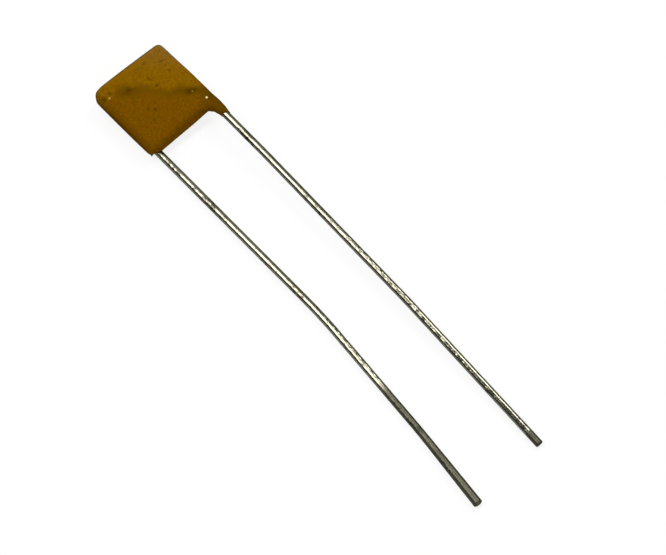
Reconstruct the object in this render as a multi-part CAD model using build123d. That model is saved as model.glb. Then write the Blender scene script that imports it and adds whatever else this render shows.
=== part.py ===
from build123d import *
import math
import os

# Ceramic plate capacitor with two wire leads, in millimetres.
# It lies on its rear face: +Z is up, the leads run towards -Y, and the
# front face, which carries the +X lead, looks up.

# Ceramic plate and the silver films fired on its two faces
PLATE_WIDTH = 4.97
PLATE_HEIGHT = 5.1
PLATE_THICK = 0.5
PLATE_CORNER = 0.25
FILM_THICK = 0.02
FILM_MARGIN = 0.3

# Tinned copper leads
LEAD_DIAMETER = 0.55
LEAD_PITCH = 5.14
LEAD_SHIFT = 0.1
LEAD_PAST_MIDDLE = 2.5
ELBOW_INSET = 0.65
ELBOW_ROUND = 0.8

# Both leads were cut together, the front one a little shorter: reach from the elbow, towards -Y
LEAD_REACH = 34.38
FRONT_LEAD_SHORT = 0.25
REAR_TIP_ROUND = 0.12

# Gentle bends of each lead, as shares of its reach, and the turn at each, towards -X
FRONT_LEAD_BEND_SHARES = (0.177, 0.608)
FRONT_LEAD_TURNS_DEG = (0.9, 1.35)
REAR_LEAD_BEND_SHARES = (0.506, 0.817)
REAR_LEAD_TURNS_DEG = (4.5, 1.8)
LEAD_BEND_ROUND = 45.0

# Solder mound that holds each lead on its film
SOLDER_SEAT = 0.03
SOLDER_LENGTH = 3.4
SOLDER_RISE = 0.46

# Dipped coat
COAT_SIDE = 0.6
COAT_OVER_LEAD = 0.09
CROWN_RADIUS = 22.0
RIM_ROUND = 0.55
CORNER_OVER_RIM = 0.07
SCANT_CORNER_ALONG_EDGE = 0.9
SCANT_CORNER_ALONG_SIDE = 0.12
SCANT_CORNER_SWELL = 0.16

# Tongue of coat that ran down the front lead. At its root it spreads along the coat's edge
# and lies flush with the side, and it thins to a lip round the wire
TONGUE_LENGTH = 1.25
TONGUE_ROOT_DEPTH = 0.05
TONGUE_ROOT_SPREAD = 1.1
TONGUE_WAIST_SHARE = 0.38
TONGUE_WAIST_SPREAD = 0.52
TONGUE_WAIST_SIDE = 0.42
TONGUE_LIP = 0.03

# Burr that the draining coat left on the corner beside the rear lead
BURR_RADIUS = 0.2
BURR_TIP_RADIUS = 0.03
BURR_LENGTH = 0.7
BURR_STICKS_OUT = 0.06
BURR_INSET = 0.03

# All blanks that are trimmed run this far past the trim
OVERRUN = 2.0

# Worked out from the values above
LEAD_RADIUS = LEAD_DIAMETER / 2
COAT_WIDTH = PLATE_WIDTH + 2 * COAT_SIDE
COAT_HEIGHT = PLATE_HEIGHT + 2 * COAT_SIDE
CORNER_ROUND = RIM_ROUND + CORNER_OVER_RIM
FILM_LEVEL = PLATE_THICK / 2 + FILM_THICK
LEAD_LEVEL = FILM_LEVEL + SOLDER_SEAT + LEAD_RADIUS
RIDGE_LEVEL = LEAD_LEVEL + LEAD_RADIUS + COAT_OVER_LEAD
ELBOW_Y = -COAT_HEIGHT / 2 + ELBOW_INSET
FRONT, REAR = 1, -1


def elbow_point(side):
    """The corner of a lead's route, where it turns in over the plate."""
    return Vector(LEAD_SHIFT + side * LEAD_PITCH / 2, ELBOW_Y, RIDGE_LEVEL + side * LEAD_LEVEL)


def inner_direction(side):
    """The way a lead runs across its film, from the elbow over the plate's middle."""
    elbow = elbow_point(side)
    return Vector(-elbow.X, -elbow.Y, 0).normalized()


def lead_points(side, reach, bend_shares, turns_deg):
    """A lead's route from its inner end to its tip, which comes down to the ground."""
    elbow = elbow_point(side)
    inner_end = Vector(0, 0, elbow.Z) + inner_direction(side) * LEAD_PAST_MIDDLE
    points = [inner_end, elbow]
    slope = (elbow.Z - LEAD_RADIUS) / reach
    heading = 0
    for start, end, turn_deg in zip((0, *bend_shares), (*bend_shares, 1), (0, *turns_deg)):
        heading += math.radians(turn_deg)
        run = (end - start) * reach
        points.append(points[-1] + Vector(-math.tan(heading), -1, -slope) * run)
    return points


def make_lead(points):
    """Round wire along a route of straight runs and tangent bends."""
    rounds = [ELBOW_ROUND] + [LEAD_BEND_ROUND] * (len(points) - 3)
    route = FilletPolyline(*points, radius=rounds)
    section = Plane(origin=route @ 0, z_dir=route % 0) * Circle(LEAD_RADIUS)
    return sweep(section, path=route)


def round_tip(lead, tip):
    """Wears the cut edge of a lead's tip round."""
    rim = lead.edges().filter_by(GeomType.CIRCLE).sort_by_distance(tip)[0]
    return fillet(rim, REAR_TIP_ROUND)


def make_plate():
    """Square of fired ceramic, its middle at the level of the two leads' mean."""
    outline = RectangleRounded(PLATE_WIDTH, PLATE_HEIGHT, PLATE_CORNER)
    middle = Pos(0, 0, RIDGE_LEVEL)
    return middle * extrude(outline, PLATE_THICK / 2, both=True)


def make_film(side):
    """Silver film on one face, short of the plate's edge all round."""
    outline = Rectangle(PLATE_WIDTH - 2 * FILM_MARGIN, PLATE_HEIGHT - 2 * FILM_MARGIN)
    face = Pos(0, 0, RIDGE_LEVEL + side * PLATE_THICK / 2)
    return face * extrude(outline, side * FILM_THICK)


def make_solder(side, lead):
    """Boat-shaped mound of solder on the film, drawn along the lead that it holds."""
    along = inner_direction(side)
    on_film = Vector(0, 0, RIDGE_LEVEL + side * FILM_LEVEL)
    up = Vector(0, 0, side)
    upright = Plane(origin=on_film, x_dir=along, z_dir=along.cross(up))
    half = SOLDER_LENGTH / 2
    bow = ThreePointArc((-half, 0), (0, SOLDER_RISE), (half, 0))
    profile = upright * make_face([bow, Line((half, 0), (-half, 0))])
    whole = revolve(profile, Axis(on_film, along))
    above = Plane(origin=on_film, z_dir=up) * extrude(Circle(SOLDER_LENGTH), SOLDER_LENGTH)
    return (whole & above) - lead


def face_blank(side):
    """Block whose outer face is crowned, highest along the line of the lead under it."""
    reach = (COAT_WIDTH + COAT_HEIGHT) / 2
    eaves_level = RIDGE_LEVEL - CROWN_RADIUS + math.sqrt(CROWN_RADIUS**2 - reach**2)
    base_level = -RIDGE_LEVEL - OVERRUN
    crown = ThreePointArc((-reach, eaves_level), (0, RIDGE_LEVEL), (reach, eaves_level))
    rest = Polyline((reach, eaves_level), (reach, base_level), (-reach, base_level), (-reach, eaves_level))
    along = inner_direction(side)
    across = Plane(
        origin=Vector(0, 0, RIDGE_LEVEL),
        x_dir=Vector(0, 0, side).cross(along),
        z_dir=along,
    )
    return extrude(across * make_face([crown, rest]), 2 * reach, both=True)


def coat_outline():
    """The coat seen from the front, its far corner over the front lead's end scant and swollen."""
    right, far = COAT_WIDTH / 2, COAT_HEIGHT / 2
    swollen_left = -right - SCANT_CORNER_SWELL
    outline = Polyline(
        (right, far),
        (swollen_left + SCANT_CORNER_ALONG_EDGE, far),
        (swollen_left, far - SCANT_CORNER_ALONG_SIDE),
        (-right, -far),
        (right, -far),
        close=True,
    )
    face = make_face(outline)
    return fillet(face.vertices(), CORNER_ROUND)


def coat_pillow():
    """The coat's body: crowned faces on an upright wall, with a soft rim."""
    height = 2 * RIDGE_LEVEL + 2 * OVERRUN
    blank = Pos(0, 0, -OVERRUN) * extrude(coat_outline(), height)
    body = blank & face_blank(FRONT) & face_blank(REAR)
    rim = body.edges().filter_by(Axis.Z, reverse=True)
    return fillet(rim, RIM_ROUND)


def lead_tongue(points):
    """Tongue of coat down the front lead, through four egg-round sections across the wire."""
    elbow, first_bend = points[1], points[2]
    along = (first_bend - elbow).normalized()
    flush = COAT_WIDTH / 2 - elbow.X
    lip = LEAD_RADIUS + TONGUE_LIP
    crest = LEAD_RADIUS + COAT_OVER_LEAD
    waist = ELBOW_INSET + TONGUE_WAIST_SHARE * TONGUE_LENGTH
    sections = []
    for distance, spread, side, rise in (
        (0, (TONGUE_ROOT_SPREAD + lip) / 2, (flush + lip) / 2, (crest + lip) / 2),
        (ELBOW_INSET - TONGUE_ROOT_DEPTH, TONGUE_ROOT_SPREAD, flush, crest),
        (waist, TONGUE_WAIST_SPREAD, TONGUE_WAIST_SIDE, (crest + lip) / 2),
        (ELBOW_INSET + TONGUE_LENGTH, lip, lip, lip),
    ):
        across = Plane(origin=elbow + along * distance, x_dir=Vector(1, 0, 0), z_dir=along)
        sections.append(across * Pos((side - spread) / 2, 0) * Ellipse((side + spread) / 2, rise))
    return loft(sections)


def drain_burr():
    """Small spike at the corner beside the rear lead, just inside the coat's side."""
    side, edge = BURR_INSET - COAT_WIDTH / 2, -COAT_HEIGHT / 2 - BURR_STICKS_OUT
    root = Vector(side + BURR_RADIUS, edge + BURR_LENGTH, RIDGE_LEVEL)
    tip = Vector(side + BURR_TIP_RADIUS, edge, RIDGE_LEVEL)
    spike = Cone(
        BURR_RADIUS,
        BURR_TIP_RADIUS,
        (tip - root).length,
        align=(Align.CENTER, Align.CENTER, Align.MIN),
    )
    return Plane(origin=root, z_dir=tip - root) * spike


front_reach = LEAD_REACH - FRONT_LEAD_SHORT
front_points = lead_points(FRONT, front_reach, FRONT_LEAD_BEND_SHARES, FRONT_LEAD_TURNS_DEG)
rear_points = lead_points(REAR, LEAD_REACH, REAR_LEAD_BEND_SHARES, REAR_LEAD_TURNS_DEG)
front_lead = make_lead(front_points)
rear_lead = round_tip(make_lead(rear_points), rear_points[-1])
pieces = {
    "ceramic_plate": make_plate(),
    "front_silver_film": make_film(FRONT),
    "rear_silver_film": make_film(REAR),
    "front_lead": front_lead,
    "rear_lead": rear_lead,
    "front_solder": make_solder(FRONT, front_lead),
    "rear_solder": make_solder(REAR, rear_lead),
}
coat = coat_pillow() + lead_tongue(front_points) + drain_burr()
for piece in list(pieces.values()):
    coat = coat - piece
pieces["dipped_coat"] = coat

# The origin lies under the middle of the whole part, on the surface it lies on
box = Compound(list(pieces.values())).bounding_box()
to_origin = Pos(-box.center().X, -box.center().Y, -box.min.Z)

os.makedirs("parts", exist_ok=True)
for name, piece in pieces.items():
    export_step(to_origin * piece, f"parts/{name}.step")
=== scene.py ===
import math

import bmesh
import bpy
from mathutils import Matrix, Vector


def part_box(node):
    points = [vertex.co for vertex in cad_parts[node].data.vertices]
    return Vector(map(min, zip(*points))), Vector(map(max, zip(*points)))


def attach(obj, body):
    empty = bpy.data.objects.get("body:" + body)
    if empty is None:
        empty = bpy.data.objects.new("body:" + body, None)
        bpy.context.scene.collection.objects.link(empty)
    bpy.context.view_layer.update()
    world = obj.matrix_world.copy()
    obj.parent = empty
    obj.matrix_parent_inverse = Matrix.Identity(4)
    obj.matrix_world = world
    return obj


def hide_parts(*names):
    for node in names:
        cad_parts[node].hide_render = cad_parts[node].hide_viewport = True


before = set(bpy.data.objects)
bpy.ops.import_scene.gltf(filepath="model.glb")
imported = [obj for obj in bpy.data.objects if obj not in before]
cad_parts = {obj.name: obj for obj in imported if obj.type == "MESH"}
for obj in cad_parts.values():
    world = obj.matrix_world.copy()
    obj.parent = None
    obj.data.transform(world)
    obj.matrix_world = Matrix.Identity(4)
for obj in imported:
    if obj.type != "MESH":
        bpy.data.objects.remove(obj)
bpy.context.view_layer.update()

# Ceramic plate capacitor, lying on its rear face: a square ceramic plate in a dipped coat,
# with two long tinned leads. Everything is in metres, in the frame of the CAD model.

MM = 0.001
UP = Vector((0, 0, 1))

# Camera: the photograph's view, on the middle of the whole part
PHOTO_WIDTH = 666
CAMERA_AZIMUTH = math.radians(-42.87)
CAMERA_ELEVATION = math.radians(66.87)
CAMERA_DISTANCE = 170 * MM
CAMERA_AIM_FROM_BODY = Vector((0.126, -18.261, 0)) * MM
PIXELS_PER_METRE_AT_AIM = 14.528 / MM
SENSOR_WIDTH_MM = 36
CLIP_RATIO = 100

# Leads: wire, route and wear
LEAD_RADIUS = 0.275 * MM
LEAD_PITCH = 5.14 * MM
LEAD_SHIFT = 0.1 * MM
LEAD_LEVEL = 0.575 * MM
LEAD_PAST_MIDDLE = 2.5 * MM
ELBOW_BELOW_MIDDLE = 2.5 * MM
ELBOW_ROUND = 0.8 * MM
LEAD_BEND_ROUND = 45 * MM
LEADS = {
    "front_lead": {
        "side": 1,
        "reach": 34.13 * MM,
        "bend_shares": (0.177, 0.608),
        "turns_deg": (0.9, 1.35),
        "tip_round": 0.02 * MM,
        "tip_swell": 0.01 * MM,
        "dull_before_tip": 1.2 * MM,
        "seed": 3.0,
    },
    "rear_lead": {
        "side": -1,
        "reach": 34.38 * MM,
        "bend_shares": (0.506, 0.817),
        "turns_deg": (4.5, 1.8),
        "tip_round": 0.12 * MM,
        "tip_swell": 0.055 * MM,
        "dull_before_tip": 10.9 * MM,
        "seed": 8.0,
    },
}

# Leads: their mesh and the tin on it. The tin grows dull over a stretch before the tip, from 0 to its
# steepness at the tip, and is fully dull from 1 on
RING_SPACING = 0.06 * MM
RING_SIDES = 32
BEND_STEPS = 24
TIN_LUMP_HEIGHT = 0.03 * MM
TIN_LUMP_SIZE = 0.5 * MM
TIN_LUMP_DETAIL = 3.0
TIP_SWELL_REACH = 6.0 * MM
DULL_STEEPNESS = 10.0

# Look of the tin, its grains drawn out along the leads
TIN_GRAINS = {"size": 0.13 * MM, "detail": 2.0}
TIN_GRAINS_DRAWN = (1.0, 0.45, 1.0)
TIN_STRETCHES = {"size": 1.8 * MM, "detail": 2.0}
TIN_BRIGHT_FROM = 0.64
TIN_BRIGHT_FULL = 0.98
TIN_DARK = "#302E24"
TIN_BRIGHT = "#757364"
TIN_DULL_END = "#3C3A2D"
TIN_DULL_END_SHARE = 0.65
TIN_EDGE_TINT = "#A0A0A0"
TIN_ROUGH_DARK = 0.24
TIN_ROUGH_BRIGHT = 0.13
TIN_ROUGH_DULL = 0.4
TIN_BUMP = 0.008 * MM
TIN_BUMP_STRENGTH = 0.6

# Coat: its skin. Plugs of lead end just past the wall and past the tongue, and close the holes there
COAT_HALF_HEIGHT = 3.15 * MM
COAT_CREST = 0.94 * MM
CROWN_RADIUS = 22 * MM
PLUG_PAST_WALL = 0.03 * MM
LIP_PAST_SOLID = 0.08 * MM
MERGE_DISTANCE = 0.001 * MM
SKIN_VOXEL_MM = 0.04
SKIN_SMOOTHINGS = 6
SKIN_SMOOTH_FACTOR = 0.5
SAG_HEIGHT = 0.04 * MM
SAG_SIZE = 2.0 * MM
RIPPLE_HEIGHT = 0.006 * MM
RIPPLE_SIZE = 0.6 * MM
FLOW_DETAIL = 1.0
DIP_SEED = 4.0

# Coat: the lip and web of the tongue, down from the front lead's elbow
LIP_RADIUS = 0.315 * MM
LIP_FROM_ELBOW = 1.1 * MM
LIP_FADE = 0.3 * MM
LIP_SLANT = 0.45
LIP_FACING_FROM = 0.2
LIP_FACING_FULL = 0.7
WEB_FROM_ELBOW = 1.38 * MM
WEB_INWARD = 0.35 * MM
WEB_REACH = 0.52 * MM
WEB_HEIGHT = 0.13 * MM

# Coat: its corners. The burr and the notch under it are placed from the body's middle
FAR_CORNER_ROUND = 0.62 * MM
FAR_CORNER_DRAW = 0.08 * MM
FAR_CORNER_REACH = 0.55 * MM
BURR_ROOT_FROM_MIDDLE = Vector((-3.04, -2.89, -0.23)) * MM
BURR_TIP_FROM_MIDDLE = Vector((-3.13, -3.2, -0.25)) * MM
BURR_REACH = 0.26 * MM
BURR_SHADE_REACH = 0.4 * MM
BURR_SHADE_SHARE = 0.9
NOTCH_FROM_MIDDLE = Vector((-2.74, -2.99, -0.68)) * MM
NOTCH_RUN = Vector((0.12, 0.13, 0.03)) * MM
NOTCH_REACH = 0.45 * MM

# Coat: the small marks on the front face. The blisters are low domes whose colours are painted glints, and
# one speck is a painted shade under the crease. Each place is given along the front lead's inner run,
# towards its elbow, and across it, towards the far corner
BLISTERS = (
    {
        "along": 3.65 * MM,
        "across": -0.33 * MM,
        "radius": 0.12 * MM,
        "height": 0.05 * MM,
        "colour": "#FFEBB8",
    },
    {
        "along": 2.64 * MM,
        "across": 0.16 * MM,
        "radius": 0.10 * MM,
        "height": 0.03 * MM,
        "colour": "#857326",
    },
    {
        "along": -3.16 * MM,
        "across": -0.46 * MM,
        "radius": 0.14 * MM,
        "height": 0.04 * MM,
        "colour": "#E4BC48",
    },
)
PAINTED_GLINT_FULL_SHARE = 0.4
PAINTED_GLINT_EDGE_SHARE = 0.9
CREASE = {
    "start": {"along": -3.95 * MM, "across": -0.15 * MM},
    "end": {"along": -3.16 * MM, "across": -0.40 * MM},
    "reach": 0.4 * MM,
    "height": 0.07 * MM,
}
SPECKS = (
    {"along": -3.17 * MM, "across": -0.08 * MM, "radius": 0.26 * MM},
    # This speck is a painted shade under the crease from the scant corner
    {"along": -3.56 * MM, "across": -0.55 * MM, "radius": 0.34 * MM},
    {"along": -0.48 * MM, "across": 1.14 * MM, "radius": 0.22 * MM},
    {"along": -0.87 * MM, "across": 2.36 * MM, "radius": 0.17 * MM},
    {"along": 0.32 * MM, "across": 2.58 * MM, "radius": 0.20 * MM},
    {"along": 0.97 * MM, "across": 1.86 * MM, "radius": 0.18 * MM},
    {"along": 0.10 * MM, "across": 0.60 * MM, "radius": 0.24 * MM},
    {"along": -0.41 * MM, "across": -1.26 * MM, "radius": 0.18 * MM},
    {"along": 0.07 * MM, "across": -1.28 * MM, "radius": 0.20 * MM},
    {"along": 0.01 * MM, "across": -2.06 * MM, "radius": 0.15 * MM},
    {"along": -1.83 * MM, "across": 0.13 * MM, "radius": 0.45 * MM},
    {"along": 2.42 * MM, "across": 0.13 * MM, "radius": 0.50 * MM},
    {"along": 2.80 * MM, "across": 0.27 * MM, "radius": 0.24 * MM},
)

# Look of the lacquer: its patterns and colours
CLOUD = {"size": 1.1 * MM, "detail": 3.0}
GRAIN = {"size": 0.14 * MM, "detail": 2.0}
FLECKS = {"size": 0.4 * MM, "detail": 2.0}
UPPER_OCHRE = "#835B02"
# The lower half of the front face is painted in shade with this darker ochre
SHADED_OCHRE = "#754C01"
SHADOW_OLIVE = "#4A3802"
SPECK_BROWN = "#3A2A02"
TONGUE_BROWN = "#4C3602"
FLECK_BROWN = "#7A4602"
PAINTED_SHADE_BROWN = "#241800"
SPECK_SHARE = 0.6
FLECK_FROM = 0.52
FLECK_FULL = 0.7
FLECK_SHARE = 0.4
MOTTLE_LEAST = 0.55
MOTTLE_MOST = 1.45
LACQUER_ROUGHNESS = 0.22
LACQUER_IOR = 1.5

# Look of the lacquer: where its colours change, along and across as the marks are, or in height
# over the body's middle
# Where the upper half gives way to the painted shade on the lower half, across the ridge
HALVES_MEET_FROM = 1.0 * MM
HALVES_MEET_FULL = -0.7 * MM
HALVES_WANDER = 0.65 * MM
SCANT_CORNER_FROM = -2.7 * MM
SCANT_CORNER_FULL = -3.3 * MM
SCANT_CORNER_SHIFT = 0.75 * MM
SHADOW_LINE = 0.15 * MM
SHADOW_REACH = 0.7 * MM
SHADOW_SHARE = 0.8
SHADOW_END_FROM = -3.1 * MM
SHADOW_END_FULL = -2.4 * MM
SHADOW_GRAIN_FROM = 0.35
SHADOW_GRAIN_FULL = 0.6
SHADOW_GRAIN_SHARE = 0.3
FRONT_FACE_FROM = 0.3 * MM
FRONT_FACE_FULL = 0.6 * MM
SOLDER_FROM = 0.5 * MM
SOLDER_FULL = 1.8 * MM
SOLDER_SHARE = 0.55
TONGUE_FROM = 2.9 * MM
TONGUE_FULL = 4.1 * MM
TONGUE_SHARE = 0.6
SHEEN_FROM = 1.4 * MM
SHEEN_FULL = 3.8 * MM
SHEEN_MOST = 0.1
SHEEN_RIM_SHADE_LIMIT = 0.3
# Painted shade on the rim: it falls where the skin stands steep to this slanted way up, from this
# share of the way up in its normal down to none
RIM_SHADE_UP = Vector((-0.32, -0.58, 1.0)).normalized()
RIM_SHADE_FROM = 0.48
RIM_SHADE_MOST = 0.85

# Finishes inside the coat: fired ceramic looks matt and sandy, a fired silver film is a pale matt
# metal, and solder that has set is a greyer, smoother one. Their real grain is too fine to show, so
# the patches are drawn coarser
INNER_FINISHES = {
    "fired_ceramic": {
        "low": "#B79A74",
        "high": "#C2A882",
        "patch": 0.3 * MM,
        "metallic": 0.0,
        "roughness": 0.6,
    },
    "fired_silver_film": {
        "low": "#C9C7C0",
        "high": "#D8D6D0",
        "patch": 0.1 * MM,
        "metallic": 1.0,
        "roughness": 0.5,
    },
    "set_tin_lead_solder": {
        "low": "#9C9D9E",
        "high": "#B4B5B6",
        "patch": 0.2 * MM,
        "metallic": 1.0,
        "roughness": 0.35,
    },
}
INNER_MOTTLE_DETAIL = 3.0
INNER_NODES = {
    "ceramic_plate": "fired_ceramic",
    "front_silver_film": "fired_silver_film",
    "rear_silver_film": "fired_silver_film",
    "front_solder": "set_tin_lead_solder",
    "rear_solder": "set_tin_lead_solder",
}

# Floor and light. Each soft box has the way to it from the part, how far off it is, its width
# across the leads, its height and its power
FLOOR_REACH = 2.0
FLOOR_DROP = 0.01 * MM
PAPER_WHITE = "#E6E6E6"
PAPER_SEEN = "#747474"
PAPER_GLOW = 0.84
ROOM_WHITE = "#FFFFFF"
ROOM_LIGHT = 0.15
SOFT_BOXES = {
    "left_softbox": {
        "way": Vector((-0.22, 0.305, 0.93)),
        "distance": 0.35,
        "width": 0.35,
        "height": 0.07,
        "watts": 0.67,
    },
    "right_softbox": {
        "way": Vector((0.63, 0.125, 0.766)),
        "distance": 0.35,
        "width": 0.175,
        "height": 0.053,
        "watts": 0.28,
    },
    "far_softbox": {
        "way": Vector((0.5, 0.62, 0.6)),
        "distance": 0.5,
        "width": 0.5,
        "height": 0.4,
        "watts": 0.5,
    },
    "front_softbox": {
        "way": Vector((0.0, -0.9, 0.43)),
        "distance": 0.5,
        "width": 0.5,
        "height": 0.3,
        "watts": 0.72,
    },
    "low_softbox": {
        "way": Vector((0.0, 0.97, 0.24)),
        "distance": 0.6,
        "width": 0.7,
        "height": 0.25,
        "watts": 0.3,
    },
}

# Worked out from the frame and the values above
plate_low, plate_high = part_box("ceramic_plate")
BODY_MIDDLE = (plate_low + plate_high) / 2
RIDGE_ALONG = Vector((LEAD_SHIFT + LEAD_PITCH / 2, -ELBOW_BELOW_MIDDLE, 0)).normalized()
RIDGE_ACROSS = Vector((-RIDGE_ALONG.y, RIDGE_ALONG.x, 0))


# Small helpers

def linear(hex_colour, alpha=1.0):
    """An sRGB hex colour as the linear colour that a node takes."""
    channels = [int(hex_colour[i:i + 2], 16) / 255 for i in (1, 3, 5)]
    bent = [c / 12.92 if c <= 0.04045 else ((c + 0.055) / 1.055) ** 2.4 for c in channels]
    return (*bent, alpha)


def socket(sockets, key):
    """A node's socket by identifier, name or number."""
    for found in sockets:
        if found.identifier == key:
            return found
    return sockets[key]


def add_node(tree, kind, inputs=None, **settings):
    """Adds a node: its settings, then its inputs, each a value, an output or a node's first output."""
    node = tree.nodes.new(kind)
    for name, value in settings.items():
        setattr(node, name, value)
    for key, value in (inputs or {}).items():
        target = socket(node.inputs, key)
        if isinstance(value, bpy.types.Node):
            value = next(output for output in value.outputs if output.enabled)
        if isinstance(value, bpy.types.NodeSocket):
            tree.links.new(value, target)
        else:
            target.default_value = value
    return node


def nearness(tree, place, middle, reach, most=1.0, full_within=0.0, falloff="SMOOTHSTEP"):
    """A value that is at its most round a middle, fades with the distance and is gone at its reach."""
    away = add_node(tree, "ShaderNodeVectorMath", {0: place, 1: middle}, operation="DISTANCE")
    return add_node(
        tree,
        "ShaderNodeMapRange",
        {
            "Value": away.outputs["Value"],
            "From Min": full_within,
            "From Max": reach,
            "To Min": most,
            "To Max": 0.0,
        },
        interpolation_type=falloff,
    )


def new_material(name):
    """An empty node material and its tree."""
    material = bpy.data.materials.new(name)
    material.use_nodes = True
    material.node_tree.nodes.clear()
    return material, material.node_tree


def new_object(name, mesh):
    """A mesh object at the origin, in the scene."""
    made = bpy.data.objects.new(name, mesh)
    bpy.context.scene.collection.objects.link(made)
    return made


def plain_mesh(made, name):
    """What the object's modifiers make of it, as a mesh of its own."""
    graph = bpy.context.evaluated_depsgraph_get()
    mesh = bpy.data.meshes.new_from_object(made.evaluated_get(graph))
    mesh.name = name
    return mesh


def new_shape_tree(name, sizes):
    """A geometry tree with a mesh going in and out, and inputs for its sizes, seed and material."""
    tree = bpy.data.node_groups.new(name, "GeometryNodeTree")
    tree.interface.new_socket("Geometry", in_out="OUTPUT", socket_type="NodeSocketGeometry")
    tree.interface.new_socket("Geometry", in_out="INPUT", socket_type="NodeSocketGeometry")
    for label in (*sizes, "Seed"):
        tree.interface.new_socket(label, in_out="INPUT", socket_type="NodeSocketFloat")
    tree.interface.new_socket("Material", in_out="INPUT", socket_type="NodeSocketMaterial")
    return tree, add_node(tree, "NodeGroupInput")


def lumps(tree, given, place, label, detail):
    """Height of seeded lumps at each place, from the tree's inputs for their height and size."""
    scale = add_node(tree, "ShaderNodeMath", {0: 1.0, 1: given.outputs[label + " Size"]}, operation="DIVIDE")
    noise = add_node(
        tree,
        "ShaderNodeTexNoise",
        {"Vector": place, "W": given.outputs["Seed"], "Scale": scale, "Detail": detail},
        noise_dimensions="4D",
    )
    centred = add_node(tree, "ShaderNodeMath", {0: noise.outputs["Fac"], 1: 0.5}, operation="SUBTRACT")
    return add_node(
        tree, "ShaderNodeMath", {0: centred, 1: given.outputs[label + " Height"]}, operation="MULTIPLY"
    )


def end_shape_tree(tree, given, shape, push, mark, value):
    """Pushes a shape's points, stores a mark on them, and ends its tree in one smooth mesh."""
    moved = add_node(tree, "GeometryNodeSetPosition", {"Geometry": shape, "Offset": push})
    marked = add_node(
        tree,
        "GeometryNodeStoreNamedAttribute",
        {"Geometry": moved, "Name": mark, "Value": value},
        data_type="FLOAT",
        domain="POINT",
    )
    smooth = add_node(tree, "GeometryNodeSetShadeSmooth", {"Geometry": marked})
    whole = add_node(tree, "GeometryNodeRealizeInstances", {"Geometry": smooth})
    finished = add_node(
        tree, "GeometryNodeSetMaterial", {"Geometry": whole, "Material": given.outputs["Material"]}
    )
    add_node(tree, "NodeGroupOutput", {"Geometry": finished})


def shaped(made, tree, values):
    """Runs a geometry tree on an object with these inputs, and leaves the result as its plain mesh."""
    modifier = made.modifiers.new(tree.name, "NODES")
    modifier.node_group = tree
    for item in tree.interface.items_tree:
        if item.in_out == "INPUT" and item.name in values:
            modifier[item.identifier] = values[item.name]
    mesh = plain_mesh(made, made.name)
    made.modifiers.clear()
    made.data = mesh
    return made


def on_face(mark):
    """Where a mark lies on the crowned front face."""
    rise = COAT_CREST - mark["across"] ** 2 / (2 * CROWN_RADIUS)
    flat = RIDGE_ALONG * mark["along"] + RIDGE_ACROSS * mark["across"]
    return BODY_MIDDLE + flat + Vector((0, 0, rise))


# Materials

def wandering_across(tree, along, across, cloud):
    """The place across the front face, bent so that the lines drawn by it wander with the cloud."""
    wander = add_node(
        tree, "ShaderNodeMapRange", {"Value": cloud, "To Min": -HALVES_WANDER, "To Max": HALVES_WANDER}
    )
    wavy = add_node(tree, "ShaderNodeMath", {0: across, 1: wander}, operation="ADD")
    # On the scant corner the painted shade of the lower half begins further down, at the crease
    past_lead = add_node(
        tree,
        "ShaderNodeMapRange",
        {
            "Value": along,
            "From Min": SCANT_CORNER_FROM,
            "From Max": SCANT_CORNER_FULL,
            "To Max": SCANT_CORNER_SHIFT,
        },
    )
    return add_node(tree, "ShaderNodeMath", {0: wavy, 1: past_lead}, operation="ADD")


def lead_shadow(tree, along, wavy, height, grain):
    """How strongly the dark olive band along the front lead's inner run lies over the coat."""
    off_line = add_node(tree, "ShaderNodeMath", {0: wavy, 1: SHADOW_LINE}, operation="SUBTRACT")
    off_line = add_node(tree, "ShaderNodeMath", {0: off_line}, operation="ABSOLUTE")
    shadow = add_node(
        tree,
        "ShaderNodeMapRange",
        {"Value": off_line, "From Min": SHADOW_REACH, "From Max": 0.0, "To Max": SHADOW_SHARE},
        interpolation_type="SMOOTHSTEP",
    )
    on_front = add_node(
        tree,
        "ShaderNodeMapRange",
        {"Value": height, "From Min": FRONT_FACE_FROM, "From Max": FRONT_FACE_FULL},
    )
    over_lead = add_node(
        tree,
        "ShaderNodeMapRange",
        {"Value": along, "From Min": SHADOW_END_FROM, "From Max": SHADOW_END_FULL},
        interpolation_type="SMOOTHSTEP",
    )
    grainy = add_node(
        tree,
        "ShaderNodeMapRange",
        {
            "Value": grain,
            "From Min": SHADOW_GRAIN_FROM,
            "From Max": SHADOW_GRAIN_FULL,
            "To Min": SHADOW_GRAIN_SHARE,
        },
    )
    # Over the middle of the plate the band is weaker
    off_middle = add_node(tree, "ShaderNodeMath", {0: along}, operation="ABSOLUTE")
    uncovered = add_node(
        tree,
        "ShaderNodeMapRange",
        {"Value": off_middle, "From Min": SOLDER_FROM, "From Max": SOLDER_FULL, "To Min": SOLDER_SHARE},
    )
    for share in (on_front, over_lead, grainy, uncovered):
        shadow = add_node(tree, "ShaderNodeMath", {0: shadow, 1: share}, operation="MULTIPLY")
    return shadow


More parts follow.
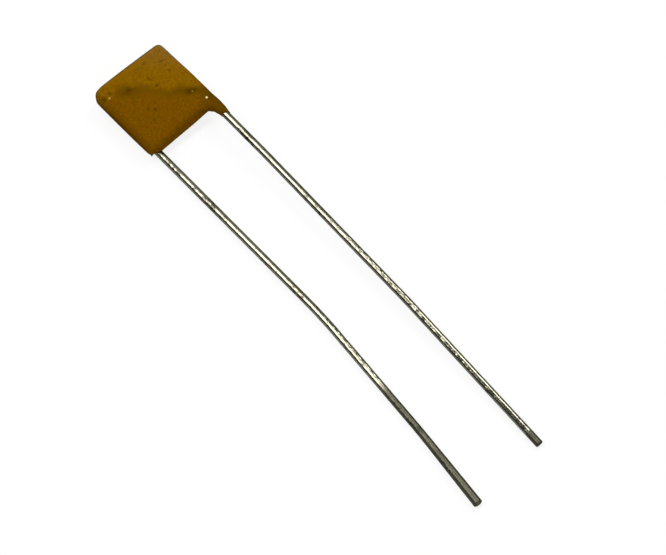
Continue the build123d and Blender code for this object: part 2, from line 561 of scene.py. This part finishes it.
def dipped_lacquer():
    """Ochre lacquer, dipped and dried: nearly matt but for a sheen on the far corner, with painted shade on
    its rim and lower half, and an olive band along the lead under it. Specks and painted glints on blisters
    break its colour."""
    material, tree = new_material("dipped_ochre_lacquer")
    place = add_node(tree, "ShaderNodeTexCoord").outputs["Object"]
    centred = add_node(tree, "ShaderNodeVectorMath", {0: place, 1: BODY_MIDDLE}, operation="SUBTRACT")
    along, across, height = (
        add_node(
            tree, "ShaderNodeVectorMath", {0: centred, 1: way}, operation="DOT_PRODUCT"
        ).outputs["Value"]
        for way in (RIDGE_ALONG, RIDGE_ACROSS, UP)
    )
    cloud, grain, flecks = (
        add_node(
            tree,
            "ShaderNodeTexNoise",
            {"Vector": place, "Scale": 1 / pattern["size"], "Detail": pattern["detail"]},
        ).outputs["Fac"]
        for pattern in (CLOUD, GRAIN, FLECKS)
    )
    wavy = wandering_across(tree, along, across, cloud)
    # Painted shade: the lower half of the front face is darker
    lower = add_node(
        tree,
        "ShaderNodeMapRange",
        {"Value": wavy, "From Min": HALVES_MEET_FROM, "From Max": HALVES_MEET_FULL},
        interpolation_type="SMOOTHSTEP",
    )
    tongue = add_node(
        tree,
        "ShaderNodeMapRange",
        {"Value": along, "From Min": TONGUE_FROM, "From Max": TONGUE_FULL, "To Max": TONGUE_SHARE},
        interpolation_type="SMOOTHSTEP",
    )
    fleck = add_node(
        tree,
        "ShaderNodeMapRange",
        {"Value": flecks, "From Min": FLECK_FROM, "From Max": FLECK_FULL, "To Max": FLECK_SHARE},
    )
    stains = [(lower, SHADED_OCHRE), (lead_shadow(tree, along, wavy, height, grain), SHADOW_OLIVE)]
    for mark in SPECKS:
        speck = nearness(tree, place, on_face(mark), mark["radius"], SPECK_SHARE)
        stains.append((speck, SPECK_BROWN))
    stains += [(tongue, TONGUE_BROWN), (fleck, FLECK_BROWN)]
    colour = linear(UPPER_OCHRE)
    for share, stain in stains:
        colour = add_node(
            tree,
            "ShaderNodeMix",
            {"Factor_Float": share, "A_Color": colour, "B_Color": linear(stain)},
            data_type="RGBA",
        )
    mottle = add_node(
        tree, "ShaderNodeMapRange", {"Value": grain, "To Min": MOTTLE_LEAST, "To Max": MOTTLE_MOST}
    )
    colour = add_node(tree, "ShaderNodeVectorMath", {0: colour, "Scale": mottle}, operation="SCALE")
    # Painted shade on the rim and round the burr, and the painted glints on the blisters, lie over the
    # mottling
    rim_shade = add_node(tree, "ShaderNodeAttribute", attribute_name="painted_rim_shade").outputs["Fac"]
    burr = nearness(
        tree, centred, BURR_TIP_FROM_MIDDLE, BURR_SHADE_REACH, BURR_SHADE_SHARE, falloff="LINEAR"
    )
    breaks = [(rim_shade, PAINTED_SHADE_BROWN), (burr, PAINTED_SHADE_BROWN)]
    # Each blister's colour is a painted glint, laid over its dome
    for mark in BLISTERS:
        edge = mark["radius"] * PAINTED_GLINT_EDGE_SHARE
        painted_glint = nearness(
            tree, place, on_face(mark), edge, full_within=mark["radius"] * PAINTED_GLINT_FULL_SHARE
        )
        breaks.append((painted_glint, mark["colour"]))
    for share, under in breaks:
        colour = add_node(
            tree,
            "ShaderNodeMix",
            {"Factor_Float": share, "A_Color": colour, "B_Color": linear(under)},
            data_type="RGBA",
        )
    # Only the far corner kept a sheen, and none where the rim has painted shade
    sheen = add_node(
        tree,
        "ShaderNodeMapRange",
        {"Value": across, "From Min": SHEEN_FROM, "From Max": SHEEN_FULL, "To Max": SHEEN_MOST},
        interpolation_type="SMOOTHSTEP",
    )
    outside_rim_shade = add_node(
        tree,
        "ShaderNodeMapRange",
        {"Value": rim_shade, "From Max": SHEEN_RIM_SHADE_LIMIT, "To Min": 1.0, "To Max": 0.0},
    )
    sheen = add_node(tree, "ShaderNodeMath", {0: sheen, 1: outside_rim_shade}, operation="MULTIPLY")
    shader = add_node(
        tree,
        "ShaderNodeBsdfPrincipled",
        {
            "Base Color": colour,
            "Specular IOR Level": sheen,
            "Roughness": LACQUER_ROUGHNESS,
            "IOR": LACQUER_IOR,
        },
    )
    add_node(tree, "ShaderNodeOutputMaterial", {"Surface": shader})
    return material


def tinned_wire():
    """Copper wire, hot tinned and gone dark with age: a bright streak in dark grey metal, ragged where
    the tin set in grains, and darker and rougher over a stretch before the tip."""
    material, tree = new_material("hot_tinned_copper_wire")
    place = add_node(tree, "ShaderNodeTexCoord").outputs["Object"]
    drawn = add_node(tree, "ShaderNodeMapping", {"Vector": place, "Scale": TIN_GRAINS_DRAWN})
    grains, stretches = (
        add_node(
            tree,
            "ShaderNodeTexNoise",
            {"Vector": where, "Scale": 1 / pattern["size"], "Detail": pattern["detail"]},
        ).outputs["Fac"]
        for where, pattern in ((drawn, TIN_GRAINS), (place, TIN_STRETCHES))
    )
    both = add_node(tree, "ShaderNodeMath", {0: grains, 1: stretches}, operation="ADD")
    bright = add_node(
        tree,
        "ShaderNodeMapRange",
        {"Value": both, "From Min": TIN_BRIGHT_FROM, "From Max": TIN_BRIGHT_FULL},
        interpolation_type="SMOOTHSTEP",
    )
    colour = add_node(
        tree,
        "ShaderNodeMix",
        {"Factor_Float": bright, "A_Color": linear(TIN_DARK), "B_Color": linear(TIN_BRIGHT)},
        data_type="RGBA",
    )
    dull = add_node(tree, "ShaderNodeAttribute", attribute_name="dull_end").outputs["Fac"]
    dulled = add_node(tree, "ShaderNodeMapRange", {"Value": dull, "To Max": TIN_DULL_END_SHARE})
    colour = add_node(
        tree,
        "ShaderNodeMix",
        {"Factor_Float": dulled, "A_Color": colour, "B_Color": linear(TIN_DULL_END)},
        data_type="RGBA",
    )
    rough = add_node(
        tree,
        "ShaderNodeMapRange",
        {"Value": bright, "To Min": TIN_ROUGH_DARK, "To Max": TIN_ROUGH_BRIGHT},
    )
    dulled_roughness = add_node(
        tree,
        "ShaderNodeMix",
        {"Factor_Float": dull, "A_Float": rough, "B_Float": TIN_ROUGH_DULL},
        data_type="FLOAT",
    )
    bump = add_node(
        tree, "ShaderNodeBump", {"Height": grains, "Distance": TIN_BUMP, "Strength": TIN_BUMP_STRENGTH}
    )
    shader = add_node(
        tree,
        "ShaderNodeBsdfPrincipled",
        {
            "Base Color": colour,
            "Roughness": dulled_roughness,
            "Normal": bump,
            "Specular Tint": linear(TIN_EDGE_TINT),
            "Metallic": 1.0,
        },
    )
    add_node(tree, "ShaderNodeOutputMaterial", {"Surface": shader})
    return material


def inner_finish(name, low, high, patch, metallic, roughness):
    """A fired or set surface inside the coat, mottled between two close colours."""
    material, tree = new_material(name)
    place = add_node(tree, "ShaderNodeTexCoord").outputs["Object"]
    mottle = add_node(
        tree, "ShaderNodeTexNoise", {"Vector": place, "Scale": 1 / patch, "Detail": INNER_MOTTLE_DETAIL}
    )
    colour = add_node(
        tree,
        "ShaderNodeMix",
        {"Factor_Float": mottle.outputs["Fac"], "A_Color": linear(low), "B_Color": linear(high)},
        data_type="RGBA",
    )
    shader = add_node(
        tree,
        "ShaderNodeBsdfPrincipled",
        {"Base Color": colour, "Metallic": metallic, "Roughness": roughness},
    )
    add_node(tree, "ShaderNodeOutputMaterial", {"Surface": shader})
    return material


# Leads

def lead_route(lead):
    """Corner points of a lead's route, from its inner end to its tip on the ground."""
    side = lead["side"]
    elbow = BODY_MIDDLE + Vector(
        (LEAD_SHIFT + side * LEAD_PITCH / 2, -ELBOW_BELOW_MIDDLE, side * LEAD_LEVEL)
    )
    over_middle = Vector((BODY_MIDDLE.x, BODY_MIDDLE.y, elbow.z))
    points = [over_middle + (over_middle - elbow).normalized() * LEAD_PAST_MIDDLE, elbow]
    slope = (elbow.z - LEAD_RADIUS) / lead["reach"]
    shares = (0, *lead["bend_shares"], 1)
    heading = 0
    for start, end, turn_deg in zip(shares, shares[1:], (0, *lead["turns_deg"])):
        heading += math.radians(turn_deg)
        step = Vector((-math.tan(heading), -1, -slope))
        points.append(points[-1] + step * (end - start) * lead["reach"])
    return points


def tip_round_in(tree, tip, before_tip):
    """How far the wall draws in near the tip: a quarter circle of the tip's round, nothing before it."""
    short = add_node(tree, "ShaderNodeMath", {0: tip, 1: before_tip}, operation="SUBTRACT")
    short = add_node(tree, "ShaderNodeMath", {0: short, 1: 0.0}, operation="MAXIMUM")
    short = add_node(tree, "ShaderNodeMath", {0: short, 1: short}, operation="MULTIPLY")
    square = add_node(tree, "ShaderNodeMath", {0: tip, 1: tip}, operation="MULTIPLY")
    chord = add_node(tree, "ShaderNodeMath", {0: square, 1: short}, operation="SUBTRACT")
    chord = add_node(tree, "ShaderNodeMath", {0: chord}, operation="SQRT")
    return add_node(tree, "ShaderNodeMath", {0: chord, 1: tip}, operation="SUBTRACT")


def wire_tree():
    """Geometry tree: round wire along a route of rounded corners, lumpy with tin that is thicker towards
    the tip, its tip worn round. It marks how dull the wire is."""
    sizes = (
        "Wire Radius",
        "Ring Spacing",
        "Lump Height",
        "Lump Size",
        "Tip Round",
        "Tip Swell",
        "Swell Reach",
        "Dull Before Tip",
    )
    tree, given = new_shape_tree("tinned_wire", sizes)
    radius = given.outputs["Wire Radius"]
    line = add_node(tree, "GeometryNodeMeshToCurve", {"Mesh": given.outputs["Geometry"]})
    corner = add_node(
        tree, "GeometryNodeInputNamedAttribute", {"Name": "corner_round"}, data_type="FLOAT"
    )
    rounded = add_node(
        tree,
        "GeometryNodeFilletCurve",
        {"Curve": line, "Count": BEND_STEPS, "Radius": corner.outputs["Attribute"]},
        mode="POLY",
    )
    even = add_node(
        tree,
        "GeometryNodeResampleCurve",
        {"Curve": rounded, "Length": given.outputs["Ring Spacing"]},
        mode="LENGTH",
    )
    along = add_node(tree, "GeometryNodeSplineParameter").outputs["Length"]
    whole_length = add_node(tree, "GeometryNodeSplineLength").outputs["Length"]
    remaining = add_node(tree, "ShaderNodeMath", {0: whole_length, 1: along}, operation="SUBTRACT")
    place = add_node(tree, "GeometryNodeInputPosition").outputs["Position"]
    held = add_node(tree, "GeometryNodeCaptureAttribute", {"Geometry": even})
    # These two inputs are there only once their items are made
    held.capture_items.new("VECTOR", "Middle")
    held.capture_items.new("FLOAT", "Before Tip")
    tree.links.new(place, held.inputs["Middle"])
    tree.links.new(remaining.outputs[0], held.inputs["Before Tip"])
    before_tip = held.outputs["Before Tip"]
    ring = add_node(
        tree,
        "GeometryNodeCurvePrimitiveCircle",
        {"Resolution": RING_SIDES, "Radius": radius},
        mode="RADIUS",
    )
    tube = add_node(
        tree,
        "GeometryNodeCurveToMesh",
        {"Curve": held.outputs["Geometry"], "Profile Curve": ring.outputs["Curve"], "Fill Caps": True},
    )
    drawn_in = tip_round_in(tree, given.outputs["Tip Round"], before_tip)
    lump = lumps(tree, given, place, "Lump", TIN_LUMP_DETAIL)
    swell = add_node(
        tree,
        "ShaderNodeMapRange",
        {
            "Value": before_tip,
            "From Min": given.outputs["Swell Reach"],
            "From Max": 0.0,
            "To Min": 0.0,
            "To Max": given.outputs["Tip Swell"],
        },
    )
    rise = drawn_in
    for height in (lump, swell):
        rise = add_node(tree, "ShaderNodeMath", {0: rise, 1: height}, operation="ADD")
    share = add_node(tree, "ShaderNodeMath", {0: rise, 1: radius}, operation="DIVIDE")
    outward = add_node(
        tree, "ShaderNodeVectorMath", {0: place, 1: held.outputs["Middle"]}, operation="SUBTRACT"
    )
    push = add_node(tree, "ShaderNodeVectorMath", {0: outward, "Scale": share}, operation="SCALE")
    # The swollen tip is lifted by as much, so that it still lies on the ground
    lift = add_node(tree, "ShaderNodeVectorMath", {0: UP, "Scale": swell}, operation="SCALE")
    push = add_node(tree, "ShaderNodeVectorMath", {0: push, 1: lift}, operation="ADD")
    dull = add_node(
        tree,
        "ShaderNodeMapRange",
        {
            "Value": before_tip,
            "From Min": given.outputs["Dull Before Tip"],
            "From Max": 0.0,
            "To Min": 0.0,
            "To Max": DULL_STEEPNESS,
        },
    )
    end_shape_tree(tree, given, tube, push, "dull_end", dull)
    return tree


def make_leads():
    """Both leads, each along the same route as its CAD node."""
    tree = wire_tree()
    material = tinned_wire()
    made = {}
    for node, lead in LEADS.items():
        points = lead_route(lead)
        mesh = bpy.data.meshes.new(node + "_route")
        mesh.from_pydata(points, [(i, i + 1) for i in range(len(points) - 1)], [])
        rounds = mesh.attributes.new("corner_round", "FLOAT", "POINT")
        for i, value in enumerate((0, ELBOW_ROUND, LEAD_BEND_ROUND, LEAD_BEND_ROUND, 0)):
            rounds.data[i].value = value
        made[node] = shaped(
            new_object("tinned_" + node, mesh),
            tree,
            {
                "Wire Radius": LEAD_RADIUS,
                "Ring Spacing": RING_SPACING,
                "Lump Height": TIN_LUMP_HEIGHT,
                "Lump Size": TIN_LUMP_SIZE,
                "Tip Round": lead["tip_round"],
                "Tip Swell": lead["tip_swell"],
                "Swell Reach": TIP_SWELL_REACH,
                "Dull Before Tip": lead["dull_before_tip"],
                "Seed": lead["seed"],
                "Material": material,
            },
        )
    return made


# Dipped coat

def lead_plug(node, cut_y):
    """The stretch of a CAD lead that lies inside the coat, closed where it is cut."""
    plug = bmesh.new()
    plug.from_mesh(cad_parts[node].data)
    bmesh.ops.remove_doubles(plug, verts=plug.verts, dist=MERGE_DISTANCE)
    everything = [*plug.verts, *plug.edges, *plug.faces]
    bmesh.ops.bisect_plane(
        plug, geom=everything, plane_co=(0, cut_y, 0), plane_no=(0, -1, 0), clear_outer=True
    )
    open_edges = [edge for edge in plug.edges if edge.is_boundary]
    bmesh.ops.holes_fill(plug, edges=open_edges)
    mesh = bpy.data.meshes.new(node + "_plug")
    plug.to_mesh(mesh)
    plug.free()
    return mesh


def coat_blank():
    """One closed, evenly meshed skin round the outside of the CAD coat."""
    sleeve_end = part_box("dipped_coat")[0].y
    wall = BODY_MIDDLE.y - COAT_HALF_HEIGHT
    blank = bmesh.new()
    blank.from_mesh(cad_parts["dipped_coat"].data)
    bmesh.ops.remove_doubles(blank, verts=blank.verts, dist=MERGE_DISTANCE)
    blank.from_mesh(lead_plug("front_lead", sleeve_end - LIP_PAST_SOLID))
    blank.from_mesh(lead_plug("rear_lead", wall - PLUG_PAST_WALL))
    # The remesh works in millimetres, because a metre is too coarse a unit for its voxels
    blank.transform(Matrix.Scale(1 / MM, 4))
    mesh = bpy.data.meshes.new("coat_blank")
    blank.to_mesh(mesh)
    blank.free()
    maker = new_object("coat_blank", mesh)
    remesh = maker.modifiers.new("even_skin", "REMESH")
    remesh.mode = "VOXEL"
    remesh.voxel_size = SKIN_VOXEL_MM
    smooth = maker.modifiers.new("flowed_skin", "SMOOTH")
    smooth.factor = SKIN_SMOOTH_FACTOR
    smooth.iterations = SKIN_SMOOTHINGS
    skin = plain_mesh(maker, "dipped_coat_skin")
    bpy.data.objects.remove(maker)
    skin.transform(Matrix.Scale(MM, 4))
    return skin


def crease_height(tree, place):
    """Height of the crease from the scant corner, a low tent along a short line."""
    start = on_face(CREASE["start"])
    run = on_face(CREASE["end"]) - start
    from_start = add_node(tree, "ShaderNodeVectorMath", {0: place, 1: start}, operation="SUBTRACT")
    share = add_node(
        tree,
        "ShaderNodeVectorMath",
        {0: from_start, 1: run / run.length_squared},
        operation="DOT_PRODUCT",
    )
    share = add_node(tree, "ShaderNodeMapRange", {"Value": share.outputs["Value"]})
    nearest = add_node(tree, "ShaderNodeVectorMath", {0: run, "Scale": share}, operation="SCALE")
    return nearness(tree, from_start, nearest, CREASE["reach"], CREASE["height"], falloff="LINEAR")


def flow_push(tree, given, place, normal):
    """Push along the skin's normal for its sag, ripple, blisters and crease."""
    heights = [lumps(tree, given, place, label, FLOW_DETAIL) for label in ("Sag", "Ripple")]
    for mark in BLISTERS:
        heights.append(
            nearness(
                tree, place, on_face(mark), mark["radius"], mark["height"], falloff="SMOOTHERSTEP"
            )
        )
    heights.append(crease_height(tree, place))
    total = heights[0]
    for height in heights[1:]:
        total = add_node(tree, "ShaderNodeMath", {0: total, 1: height}, operation="ADD")
    return add_node(tree, "ShaderNodeVectorMath", {0: normal, "Scale": total}, operation="SCALE")


def tongue_pushes(tree, place, normal):
    """Pushes that close the tongue's lip round the wire, end it aslant, and web it to the body."""
    elbow, first_bend = lead_route(LEADS["front_lead"])[1:3]
    down = (first_bend - elbow).normalized()
    from_elbow = add_node(tree, "ShaderNodeVectorMath", {0: place, 1: elbow}, operation="SUBTRACT")
    run = add_node(
        tree, "ShaderNodeVectorMath", {0: from_elbow, 1: down}, operation="DOT_PRODUCT"
    ).outputs["Value"]
    foot = add_node(tree, "ShaderNodeVectorMath", {0: down, "Scale": run}, operation="SCALE")
    spoke = add_node(tree, "ShaderNodeVectorMath", {0: from_elbow, 1: foot}, operation="SUBTRACT")
    outward = add_node(tree, "ShaderNodeVectorMath", {0: spoke}, operation="NORMALIZE")
    reach = add_node(tree, "ShaderNodeVectorMath", {0: spoke}, operation="LENGTH").outputs["Value"]
    lack = add_node(tree, "ShaderNodeMath", {0: LIP_RADIUS, 1: reach}, operation="SUBTRACT")
    lack = add_node(tree, "ShaderNodeMath", {0: lack, 1: 0.0}, operation="MAXIMUM")
    facing = add_node(tree, "ShaderNodeVectorMath", {0: normal, 1: outward}, operation="DOT_PRODUCT")
    on_wall = add_node(
        tree,
        "ShaderNodeMapRange",
        {"Value": facing.outputs["Value"], "From Min": LIP_FACING_FROM, "From Max": LIP_FACING_FULL},
    )
    on_lip = add_node(
        tree,
        "ShaderNodeMapRange",
        {"Value": run, "From Min": LIP_FROM_ELBOW, "From Max": LIP_FROM_ELBOW + LIP_FADE},
    )
    for share in (on_wall, on_lip):
        lack = add_node(tree, "ShaderNodeMath", {0: lack, 1: share}, operation="MULTIPLY")
    lip = add_node(tree, "ShaderNodeVectorMath", {0: outward, "Scale": lack}, operation="SCALE")
    # The lip runs further down on the outer side
    sideways = add_node(
        tree, "ShaderNodeVectorMath", {0: spoke, 1: Vector((LIP_SLANT, 0, 0))}, operation="DOT_PRODUCT"
    )
    slip = add_node(
        tree, "ShaderNodeMath", {0: sideways.outputs["Value"], 1: on_lip}, operation="MULTIPLY"
    )
    slant = add_node(tree, "ShaderNodeVectorMath", {0: down, "Scale": slip}, operation="SCALE")
    web_middle = elbow + down * WEB_FROM_ELBOW - Vector((WEB_INWARD, 0, 0))
    web_height = nearness(tree, place, web_middle, WEB_REACH, WEB_HEIGHT)
    web = add_node(tree, "ShaderNodeVectorMath", {0: normal, "Scale": web_height}, operation="SCALE")
    return lip, slant, web


def corner_pushes(tree, place):
    """Pushes that sharpen the far corner, draw the burr out to a point, and draw back what is under it."""
    coat_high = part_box("dipped_coat")[1]
    corner_in = FAR_CORNER_ROUND * (1 - math.sqrt(0.5))
    corner = Vector((coat_high.x - corner_in, coat_high.y - corner_in, 0))
    flat = add_node(tree, "ShaderNodeVectorMath", {0: place, 1: Vector((1, 1, 0))}, operation="MULTIPLY")
    draw = nearness(tree, flat, corner, FAR_CORNER_REACH, FAR_CORNER_DRAW)
    drawn = add_node(tree, "ShaderNodeVectorMath", {0: RIDGE_ACROSS, "Scale": draw}, operation="SCALE")
    near = nearness(tree, place, BODY_MIDDLE + BURR_ROOT_FROM_MIDDLE, BURR_REACH, falloff="LINEAR")
    burr_tip = BODY_MIDDLE + BURR_TIP_FROM_MIDDLE
    to_tip = add_node(tree, "ShaderNodeVectorMath", {0: burr_tip, 1: place}, operation="SUBTRACT")
    burr = add_node(tree, "ShaderNodeVectorMath", {0: to_tip, "Scale": near}, operation="SCALE")
    near = nearness(tree, place, BODY_MIDDLE + NOTCH_FROM_MIDDLE, NOTCH_REACH)
    notch = add_node(tree, "ShaderNodeVectorMath", {0: NOTCH_RUN, "Scale": near}, operation="SCALE")
    return drawn, burr, notch


def dip_tree():
    """Geometry tree: what dipping and draining gave the skin, its flow, marks, tongue and corners. It marks
    where the rim is to get painted shade."""
    sizes = ("Sag Height", "Sag Size", "Ripple Height", "Ripple Size")
    tree, given = new_shape_tree("dipped_skin", sizes)
    place = add_node(tree, "GeometryNodeInputPosition").outputs["Position"]
    normal = add_node(tree, "GeometryNodeInputNormal").outputs["Normal"]
    push = flow_push(tree, given, place, normal)
    for further in (*tongue_pushes(tree, place, normal), *corner_pushes(tree, place)):
        push = add_node(tree, "ShaderNodeVectorMath", {0: push, 1: further}, operation="ADD")
    # Painted shade on the rim: how much, from how steep the skin stands to the slanted way up
    upright = add_node(tree, "ShaderNodeVectorMath", {0: normal, 1: RIM_SHADE_UP}, operation="DOT_PRODUCT")
    level = add_node(tree, "ShaderNodeMath", {0: upright.outputs["Value"]}, operation="ABSOLUTE")
    rim_shade = add_node(
        tree,
        "ShaderNodeMapRange",
        {"Value": level, "From Min": RIM_SHADE_FROM, "From Max": 0.0, "To Min": 0.0, "To Max": RIM_SHADE_MOST},
        interpolation_type="SMOOTHSTEP",
    )
    end_shape_tree(tree, given, given.outputs["Geometry"], push, "painted_rim_shade", rim_shade)
    return tree


def make_coat():
    """The dipped coat: the CAD coat's skin, flowed and rippled as lacquer dries."""
    return shaped(
        new_object("dipped_coat_skin", coat_blank()),
        dip_tree(),
        {
            "Sag Height": SAG_HEIGHT,
            "Sag Size": SAG_SIZE,
            "Ripple Height": RIPPLE_HEIGHT,
            "Ripple Size": RIPPLE_SIZE,
            "Seed": DIP_SEED,
            "Material": dipped_lacquer(),
        },
    )


# Floor, light and camera

def toward(azimuth, elevation):
    """The way from the part to something seen at this azimuth and elevation."""
    flat = math.cos(elevation)
    return Vector((math.sin(azimuth) * flat, -math.cos(azimuth) * flat, math.sin(elevation)))


def white_paper():
    """Plain paper: white to the camera and in reflections, yet it keeps the part's shadow."""
    material, tree = new_material("white_paper")
    paper = add_node(tree, "ShaderNodeBsdfDiffuse", {"Color": linear(PAPER_WHITE)})
    half = add_node(tree, "ShaderNodeBsdfDiffuse", {"Color": linear(PAPER_SEEN)})
    glow = add_node(tree, "ShaderNodeEmission", {"Strength": PAPER_GLOW})
    shown = add_node(tree, "ShaderNodeAddShader", {0: half, 1: glow})
    rays = add_node(tree, "ShaderNodeLightPath")
    seen = rays.outputs["Is Camera Ray"]
    for ray in ("Is Glossy Ray", "Is Transmission Ray"):
        seen = add_node(tree, "ShaderNodeMath", {0: seen, 1: rays.outputs[ray]}, operation="MAXIMUM")
    mixed = add_node(tree, "ShaderNodeMixShader", {0: seen, 1: paper, 2: shown})
    add_node(tree, "ShaderNodeOutputMaterial", {"Surface": mixed})
    return material


def make_floor():
    """Plain white floor just under the part."""
    mesh = bpy.data.meshes.new("floor")
    sides = ((-1, -1), (1, -1), (1, 1), (-1, 1))
    corners = [(x * FLOOR_REACH, y * FLOOR_REACH, -FLOOR_DROP) for x, y in sides]
    mesh.from_pydata(corners, [], [(0, 1, 2, 3)])
    mesh.materials.append(white_paper())
    floor = new_object("floor", mesh)


def make_lamp(name, way, distance, width, height, watts):
    """A soft box that looks at the middle of the part, its width across the leads."""
    data = bpy.data.lights.new(name, "AREA")
    data.shape = "RECTANGLE"
    data.size = width
    data.size_y = height
    data.energy = watts
    lamp = bpy.data.objects.new(name, data)
    back = way.normalized()
    across = Vector((0, 1, 0)).cross(back).normalized()
    turn = Matrix((across, back.cross(across), back)).transposed()
    lamp.location = back * distance
    lamp.rotation_mode = "QUATERNION"
    lamp.rotation_quaternion = turn.to_quaternion()
    bpy.context.scene.collection.objects.link(lamp)


def make_light():
    """Two narrow soft boxes overhead, three wide ones lower down, and a dim even room."""
    for name, soft_box in SOFT_BOXES.items():
        make_lamp(name, **soft_box)
    world = bpy.data.worlds.new("dim_room")
    world.use_nodes = True
    back = world.node_tree.nodes["Background"]
    back.inputs["Color"].default_value = linear(ROOM_WHITE)
    back.inputs["Strength"].default_value = ROOM_LIGHT
    bpy.context.scene.world = world


def make_camera():
    """The photograph's camera."""
    aim = Vector((BODY_MIDDLE.x, BODY_MIDDLE.y, 0)) + CAMERA_AIM_FROM_BODY
    back = toward(CAMERA_AZIMUTH, CAMERA_ELEVATION)
    data = bpy.data.cameras.new("photo_camera")
    data.sensor_width = SENSOR_WIDTH_MM
    data.lens = PIXELS_PER_METRE_AT_AIM * CAMERA_DISTANCE / PHOTO_WIDTH * SENSOR_WIDTH_MM
    data.clip_start = CAMERA_DISTANCE / CLIP_RATIO
    data.clip_end = CAMERA_DISTANCE * CLIP_RATIO
    camera = bpy.data.objects.new("photo_camera", data)
    camera.location = aim + back * CAMERA_DISTANCE
    camera.rotation_mode = "QUATERNION"
    camera.rotation_quaternion = (-back).to_track_quat("-Z", "Y")
    bpy.context.scene.collection.objects.link(camera)
    bpy.context.scene.camera = camera


bpy.context.scene.view_settings.view_transform = "Standard"
coat = make_coat()
leads = make_leads()
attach(coat, "root")
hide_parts("dipped_coat")
for node, lead in leads.items():
    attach(lead, "root")
    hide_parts(node)

finishes = {name: inner_finish(name, **look) for name, look in INNER_FINISHES.items()}
for node, name in INNER_NODES.items():
    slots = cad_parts[node].data.materials
    slots.clear()
    slots.append(finishes[name])

make_floor()
make_light()
make_camera()
